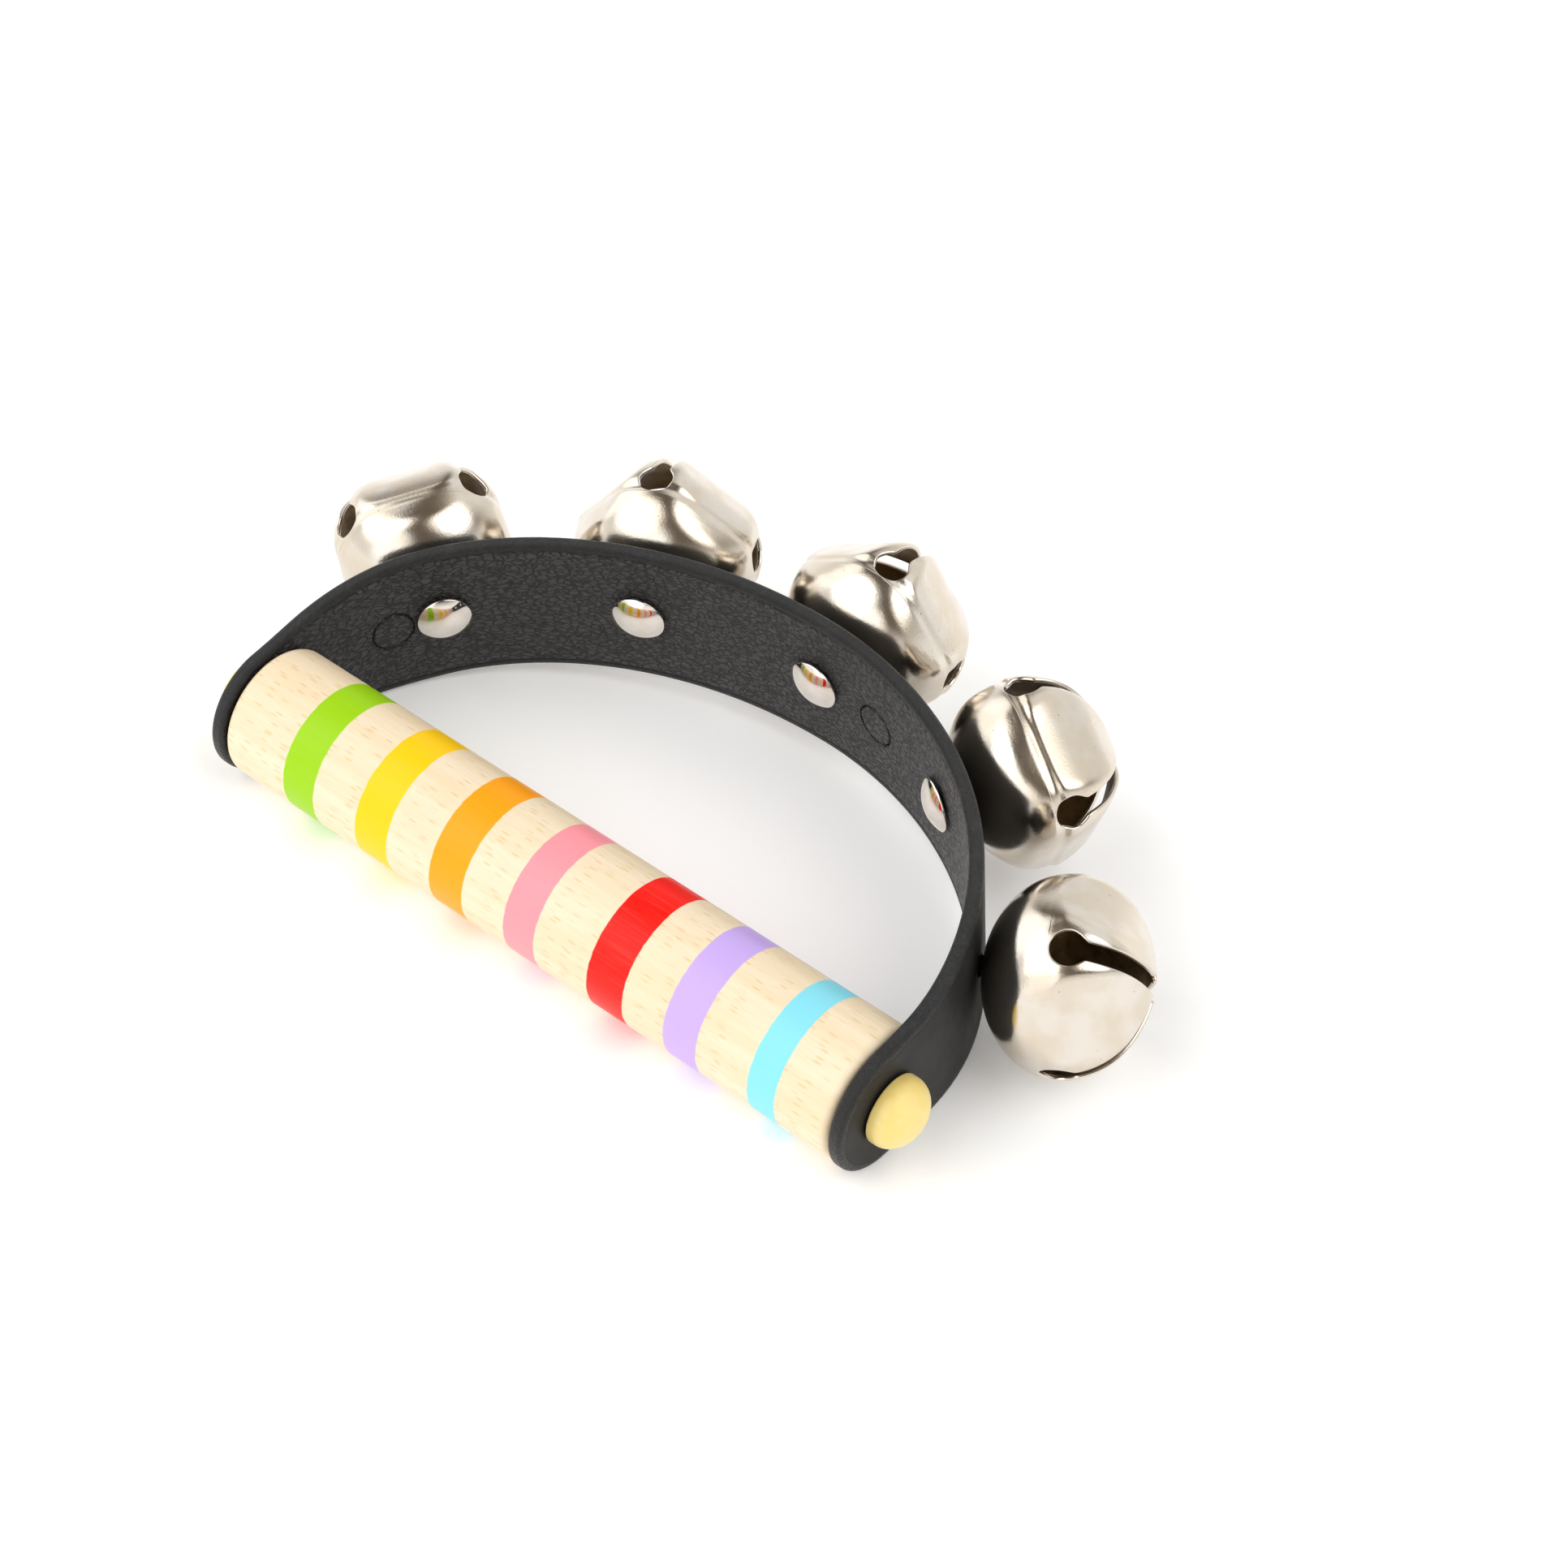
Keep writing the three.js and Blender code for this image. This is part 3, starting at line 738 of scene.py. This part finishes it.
def bell_radius(height, turn):
    """The shell's outer radius; `turn` is the angle from the middle of a petal, which is flat across."""
    depth = np.where(height < 0, BELL_CROWN_DEPTH, BELL_POLE_HEIGHT)
    round_body = BELL_RADIUS * np.sqrt(np.maximum(1 - (height / depth) ** 2, 0))
    share = np.clip((height - PETAL_HINGE) / (BELL_POLE_HEIGHT - PETAL_HINGE), PLATE_FLOOR, 1)
    plate = PETAL_REACH * np.sqrt(1 - share**2) / np.cos(turn)
    blend = SOFT_BLEND + (TIGHT_BLEND - SOFT_BLEND) * smoothstep(height, *TIGHTENS)
    pick = np.clip(0.5 + 0.5 * (plate - round_body) / blend, 0, 1)
    squared = plate * (1 - pick) + round_body * pick - blend * pick * (1 - pick)
    share_square = smoothstep(height, *SQUARES)
    return round_body * (1 - share_square) + squared * share_square


CREASE_HEIGHT = -0.95  # where the petals were bent over, below the middle of the keyholes
CREASE_DIP = 0.45  # how much lower it runs in the middle of a petal
CREASE_DEPTH = 0.26
CREASE_HALF_WIDTH = 0.80
RIDGE_DEPTH = 0.03  # the metal raised beside the crease
RIDGE_RISE = 1.15
RIDGE_HALF_WIDTH = 0.5
CREASE_STRENGTHS = (0.8, 1.0, 0.9, 1.2, 0.15)  # some petals were bent over more sharply than others
EDGE_ROUND = 0.25  # how far the sheared edges are rolled over
WIDTH_PASSES = 8  # rounds of settling a petal's width, which depends on the radius at its own edge
DOME_REACH = 0.85  # the share of a quarter turn that the crease's curve spans where there is no gap
MERGE_DISTANCE = 0.004
SLIVER_SIZE = 0.001


def crease(height, turn, widest):
    """How far the bend between dome and petal is pressed in, with a slight ridge above it."""
    middle = CREASE_HEIGHT - CREASE_DIP * (1 - (turn / widest) ** 2)
    groove = CREASE_DEPTH * np.exp(-(((height - middle) / CREASE_HALF_WIDTH) ** 2))
    ridge = RIDGE_DEPTH * np.exp(-(((height - middle - RIDGE_RISE) / RIDGE_HALF_WIDTH) ** 2))
    return groove - ridge


def half_gap(height):
    """Half the gap between two petals at a height: a round keyhole that narrows into a slot."""
    keyhole = KEYHOLE_DIAMETER / 2 + EDGE_ROUND
    slot = SLOT_WIDTH / 2 + EDGE_ROUND
    circle = math.sqrt(max(keyhole**2 - (height - KEYHOLE_HEIGHT) ** 2, 0))
    if height <= KEYHOLE_HEIGHT:
        return circle
    blend = 1.0  # how gently the keyhole narrows into the slot
    pick = min(max(0.5 + 0.5 * (circle - slot) / blend, 0), 1)
    return slot + (circle - slot) * pick + blend * pick * (1 - pick)


def bell_heights():
    """Heights of the rows of the bell's mesh, from the crown's hole to the petals' tips."""
    keyhole = KEYHOLE_DIAMETER / 2 + EDGE_ROUND
    slot = SLOT_WIDTH / 2 + EDGE_ROUND
    start = math.asin(CROWN_HOLE_DIAMETER / 2 / BELL_RADIUS)
    dome_end = math.acos(-PETAL_HINGE / BELL_CROWN_DEPTH)
    rows = [-BELL_CROWN_DEPTH * math.cos(a) for a in np.linspace(start, dome_end, 30)]
    rows += list(np.linspace(PETAL_HINGE, KEYHOLE_HEIGHT - keyhole, 12)[1:-1])
    rows += [KEYHOLE_HEIGHT - keyhole * math.cos(a) for a in np.linspace(0, math.pi / 2, 22)]
    span = BELL_POLE_HEIGHT - PETAL_HINGE
    first = math.asin((KEYHOLE_HEIGHT - PETAL_HINGE) / span)
    tip = math.acos(slot * math.sqrt(2) / PETAL_REACH)
    rows += [PETAL_HINGE + span * math.sin(a) for a in np.linspace(first, tip, 60)[1:]]
    return rows


def bell_sheet(strength):
    """The outside of one bell as an open sheet: a pressed dome and four petals."""
    heights = bell_heights()
    columns = 36
    spread = np.sin(np.linspace(-1, 1, columns + 1) * math.pi / 2)
    quarter = math.pi / 4
    sheet = bmesh.new()
    for petal in range(4):
        below = None
        for height in heights:
            gap = half_gap(height)
            widest = quarter
            for _ in range(WIDTH_PASSES):
                widest = quarter - math.asin(gap / float(bell_radius(np.array(height), widest)))
            widest = max(widest, 0.0)
            turn = spread * widest
            radius = bell_radius(np.array(height), turn)
            reach = max(widest, 1e-6) if gap else quarter * DOME_REACH
            radius = radius - strength * crease(height, np.clip(turn, -reach, reach), reach)
            angle = petal * 2 * quarter + quarter + turn
            row = [sheet.verts.new((r * math.cos(a), r * math.sin(a), height))
                   for r, a in zip(radius, angle)]
            if below:
                for c in range(columns):
                    sheet.faces.new((below[c], below[c + 1], row[c + 1], row[c]))
            below = row
    bmesh.ops.remove_doubles(sheet, verts=sheet.verts, dist=MERGE_DISTANCE)
    bmesh.ops.dissolve_degenerate(sheet, edges=sheet.edges, dist=SLIVER_SIZE)
    return sheet


def thicken(sheet, wall, roll):
    """Gives an open sheet a wall towards its inside, its free edges rolled over in a half round."""
    steps = 6
    sheet.normal_update()
    faces = list(sheet.faces)
    inner = {v: sheet.verts.new(v.co - v.normal * wall) for v in list(sheet.verts)}
    free = [edge for edge in sheet.edges if len(edge.link_faces) == 1]
    outward = {}
    for edge in free:
        loop = edge.link_loops[0]
        start, end = loop.vert, loop.link_loop_next.vert
        side = (end.co - start.co).cross(start.normal + end.normal).normalized()
        for corner in (start, end):
            outward[corner] = outward.get(corner, Vector()) + side
    rims = {}
    for corner, side in outward.items():
        side = side.normalized()
        chain = [corner]
        for step in range(1, steps):
            angle = math.pi * step / steps
            depth = wall / 2 * (1 - math.cos(angle))
            place = corner.co + side * (roll * math.sin(angle)) - corner.normal * depth
            chain.append(sheet.verts.new(place))
        chain.append(inner[corner])
        rims[corner] = chain
    ends = [(e.link_loops[0].vert, e.link_loops[0].link_loop_next.vert) for e in free]
    for face in faces:
        sheet.faces.new([inner[v] for v in reversed(face.verts)]).material_index = 1
    for start, end in ends:
        for step in range(steps):
            low, high = rims[start], rims[end]
            sheet.faces.new((high[step], low[step], low[step + 1], high[step + 1]))


def build_bell(number, outside, inside):
    sheet = bell_sheet(CREASE_STRENGTHS[number - 1])
    thicken(sheet, BELL_WALL, EDGE_ROUND)
    sheet.verts.index_update()
    points = [tuple(v.co) for v in sheet.verts]
    faces = [[v.index for v in face.verts] for face in sheet.faces]
    kinds = [face.material_index for face in sheet.faces]
    sheet.free()
    spin = Matrix.Rotation(math.radians(BELL_SPINS[number - 1]), 4, "Z")
    make_piece(f"jingle_bell_{number}", points, faces, bell_frame(number) @ spin, [outside, inside],
               f"bell_{number}", f"bell_shell_{number}", kinds)


def build_rivet(number, material, polished):
    shank = RIVET_SHANK_DIAMETER / 2
    flange = RIVET_FLANGE_DIAMETER / 2
    inner = BELL_RADIUS - BELL_WALL
    rise = (BELL_CROWN_DEPTH - BELL_WALL) * (1 - math.sqrt(1 - (flange / inner) ** 2))
    seat = 2 * FIT_GAP + BELL_WALL + rise
    under = -STRAP_THICKNESS - RIVET_CAP_GAP
    socket_end = under - RIVET_SOCKET_DEPTH
    foot = socket_end + FIT_GAP
    chamfer = 0.2
    post = [
        (0, foot),
        (shank - chamfer, foot),
        (shank, foot + chamfer),
        (shank, seat),
        (flange - chamfer, seat),
        *arc(0, seat + RIVET_FLANGE_THICKNESS / 2, flange, RIVET_FLANGE_THICKNESS, 0, 90, 8),
    ]
    post[-1] = (0, post[-1][1])
    points, faces = turned(post, 48)
    place = seat_frame(number)
    make_piece(f"rivet_stem_{number}", points, faces, place, [material], "root",
               f"rivet_post_{number}")

    radius = RIVET_CAP_DIAMETER / 2
    round_rim = 0.15
    socket = shank + FIT_GAP
    rise = RIVET_CAP_HEIGHT - 2 * round_rim
    sphere = (radius**2 + rise**2) / (2 * rise)
    slope = math.degrees(math.asin((radius - round_rim * 0.3) / sphere))
    top = under - RIVET_CAP_HEIGHT
    dome = arc(0, top + sphere, sphere, sphere, -90, slope - 90, 28)
    dome[0] = (0, top)
    cap = [
        *dome,
        (radius, under - round_rim),
        *arc(radius - round_rim, under - round_rim, round_rim, round_rim, 0, 90, 4),
        (socket, under),
        (socket, socket_end),
        (0, socket_end),
    ]
    points, faces = turned(cap, 96)
    piece = make_piece(f"domed_cap_{number}", points, faces, place, [polished],
                       "root", f"rivet_cap_{number}")
    add_bevel(piece, width=0.05, segments=2)


def build_ball(number, material):
    radius = PELLET_DIAMETER / 2
    band = 0.03  # the faint flash line where the ball's forging dies met, and its half width
    band_half = 0.12
    profile = [
        (r + (band if abs(z) < band_half else 0), z)
        for r, z in arc(0, 0, radius - band, radius - band, -90, 90, 65)
    ]
    profile[0] = (0, -radius + band)
    profile[-1] = (0, radius - band)
    points, faces = turned(profile, 64)
    turn = bell_frame(number).to_3x3().to_4x4()
    place = Matrix.Translation(box_centre(f"pellet_{number}")) @ turn
    make_piece(f"rolling_ball_{number}", points, faces, place, [material],
               f"pellet_{number}", f"pellet_{number}")


# ------------------------------------------------------------------ camera, floor and light
CAMERA_AZIMUTH = 42.872  # about the stick's own frame, in degrees
CAMERA_ELEVATION = 49.712
CAMERA_ROLL = -3.820
CAMERA_DISTANCE = 642.94
CAMERA_TARGET = (12.6, 37.3, 0)
CAMERA_LENS = 96.1


def build_camera():
    az = math.radians(CAMERA_AZIMUTH)
    el = math.radians(CAMERA_ELEVATION)
    roll = math.radians(CAMERA_ROLL)
    back = Vector((math.sin(az) * math.cos(el), -math.cos(az) * math.cos(el), math.sin(el)))
    level = Vector((math.cos(az), math.sin(az), 0))
    upright = back.cross(level)
    right = level * math.cos(roll) + upright * math.sin(roll)
    up = back.cross(right)
    turn = Matrix((right, up, back)).transposed().to_4x4()
    where = (Vector(CAMERA_TARGET) + back * CAMERA_DISTANCE) * MM
    data = bpy.data.cameras.new("camera")
    data.lens = CAMERA_LENS
    data.sensor_width = 36
    data.clip_start = 0.01
    data.clip_end = 50
    camera = bpy.data.objects.new("camera", data)
    bpy.context.scene.collection.objects.link(camera)
    camera.matrix_world = STICK @ Matrix.Translation(where) @ turn
    bpy.context.scene.camera = camera


def build_floor():
    half = 3.0
    mesh = bpy.data.meshes.new("floor")
    corners = [(-half, -half, 0), (half, -half, 0), (half, half, 0), (-half, half, 0)]
    mesh.from_pydata(corners, [], [(0, 1, 2, 3)])
    material, nodes, shader = new_material("paper_floor", Roughness=0.9, Specular_IOR_Level=0.1)
    shader.inputs["Base Color"].default_value = (0.95, 0.955, 0.965, 1)
    shader.inputs["Emission Color"].default_value = (1, 1, 1, 1)
    shader.inputs["Emission Strength"].default_value = 0.17  # lit a little from below
    mesh.materials.append(material)
    floor = bpy.data.objects.new("floor", mesh)
    bpy.context.scene.collection.objects.link(floor)


SWEEP = (1.05, 1.04, 1.02, 1)  # the white backdrop that shows near the horizon
CEILING = (0.145, 0.115, 0.090, 1)
SOFT_BOXES = (  # the direction of each one's middle, its half angles inside and out, its brightness
    ((0.05, 0.78, 0.62), 16, 44, 1.0),
    ((-0.80, -0.10, 0.50), 18, 34, 1.6),
    ((0.10, -0.88, 0.36), 16, 30, 1.6),
    ((-0.35, -0.62, 0.70), 22, 34, 2.3),
    ((0.62, 0.15, 0.77), 18, 30, 2.3),
)


def build_light():
    """A white sweep low down, a dark ceiling, and soft boxes behind, left, in front and right."""
    world = bpy.data.worlds.new("studio")
    bpy.context.scene.world = world
    world.use_nodes = True
    nodes = Nodes(world.node_tree)
    background = world.node_tree.nodes["Background"]
    direction = nodes.add("ShaderNodeTexCoord").outputs["Generated"]
    height = nodes.add("ShaderNodeSeparateXYZ", {0: direction}).outputs[2]
    sky = nodes.mix(nodes.remap(height, 0.12, 0.50), SWEEP, CEILING)
    for centre, inner, outer, power in SOFT_BOXES:
        aim = nodes.vector("DOT_PRODUCT", direction, Vector(centre).normalized()).outputs["Value"]
        edge = math.cos(math.radians(outer))
        full = math.cos(math.radians(inner))
        glow = (power, power * 0.993, power * 0.98, 1)
        sky = nodes.mix(nodes.remap(aim, edge, full), sky, glow)
    nodes.put(background.inputs["Color"], sky)
    background.inputs["Strength"].default_value = 1.0
    bpy.context.scene.view_settings.view_transform = "Standard"


# ------------------------------------------------------------------ assembly
build_camera()
build_floor()
build_light()

build_stick(beech_material())
cut_strap(build_strap(grain_material(), back_material(), edge_material()))
peg_paint = peg_material()
for peg_side in (-1, 1):
    build_peg(peg_side, peg_paint)

nickel = nickel_material()
caps = polished_material()
steel = steel_material()
bell_inside = bell_inside_material()
for bell_number in range(1, len(BELL_SPINS) + 1):
    build_bell(bell_number, nickel, bell_inside)
    build_rivet(bell_number, nickel, caps)
    build_ball(bell_number, steel)

bpy.context.view_layer.update()
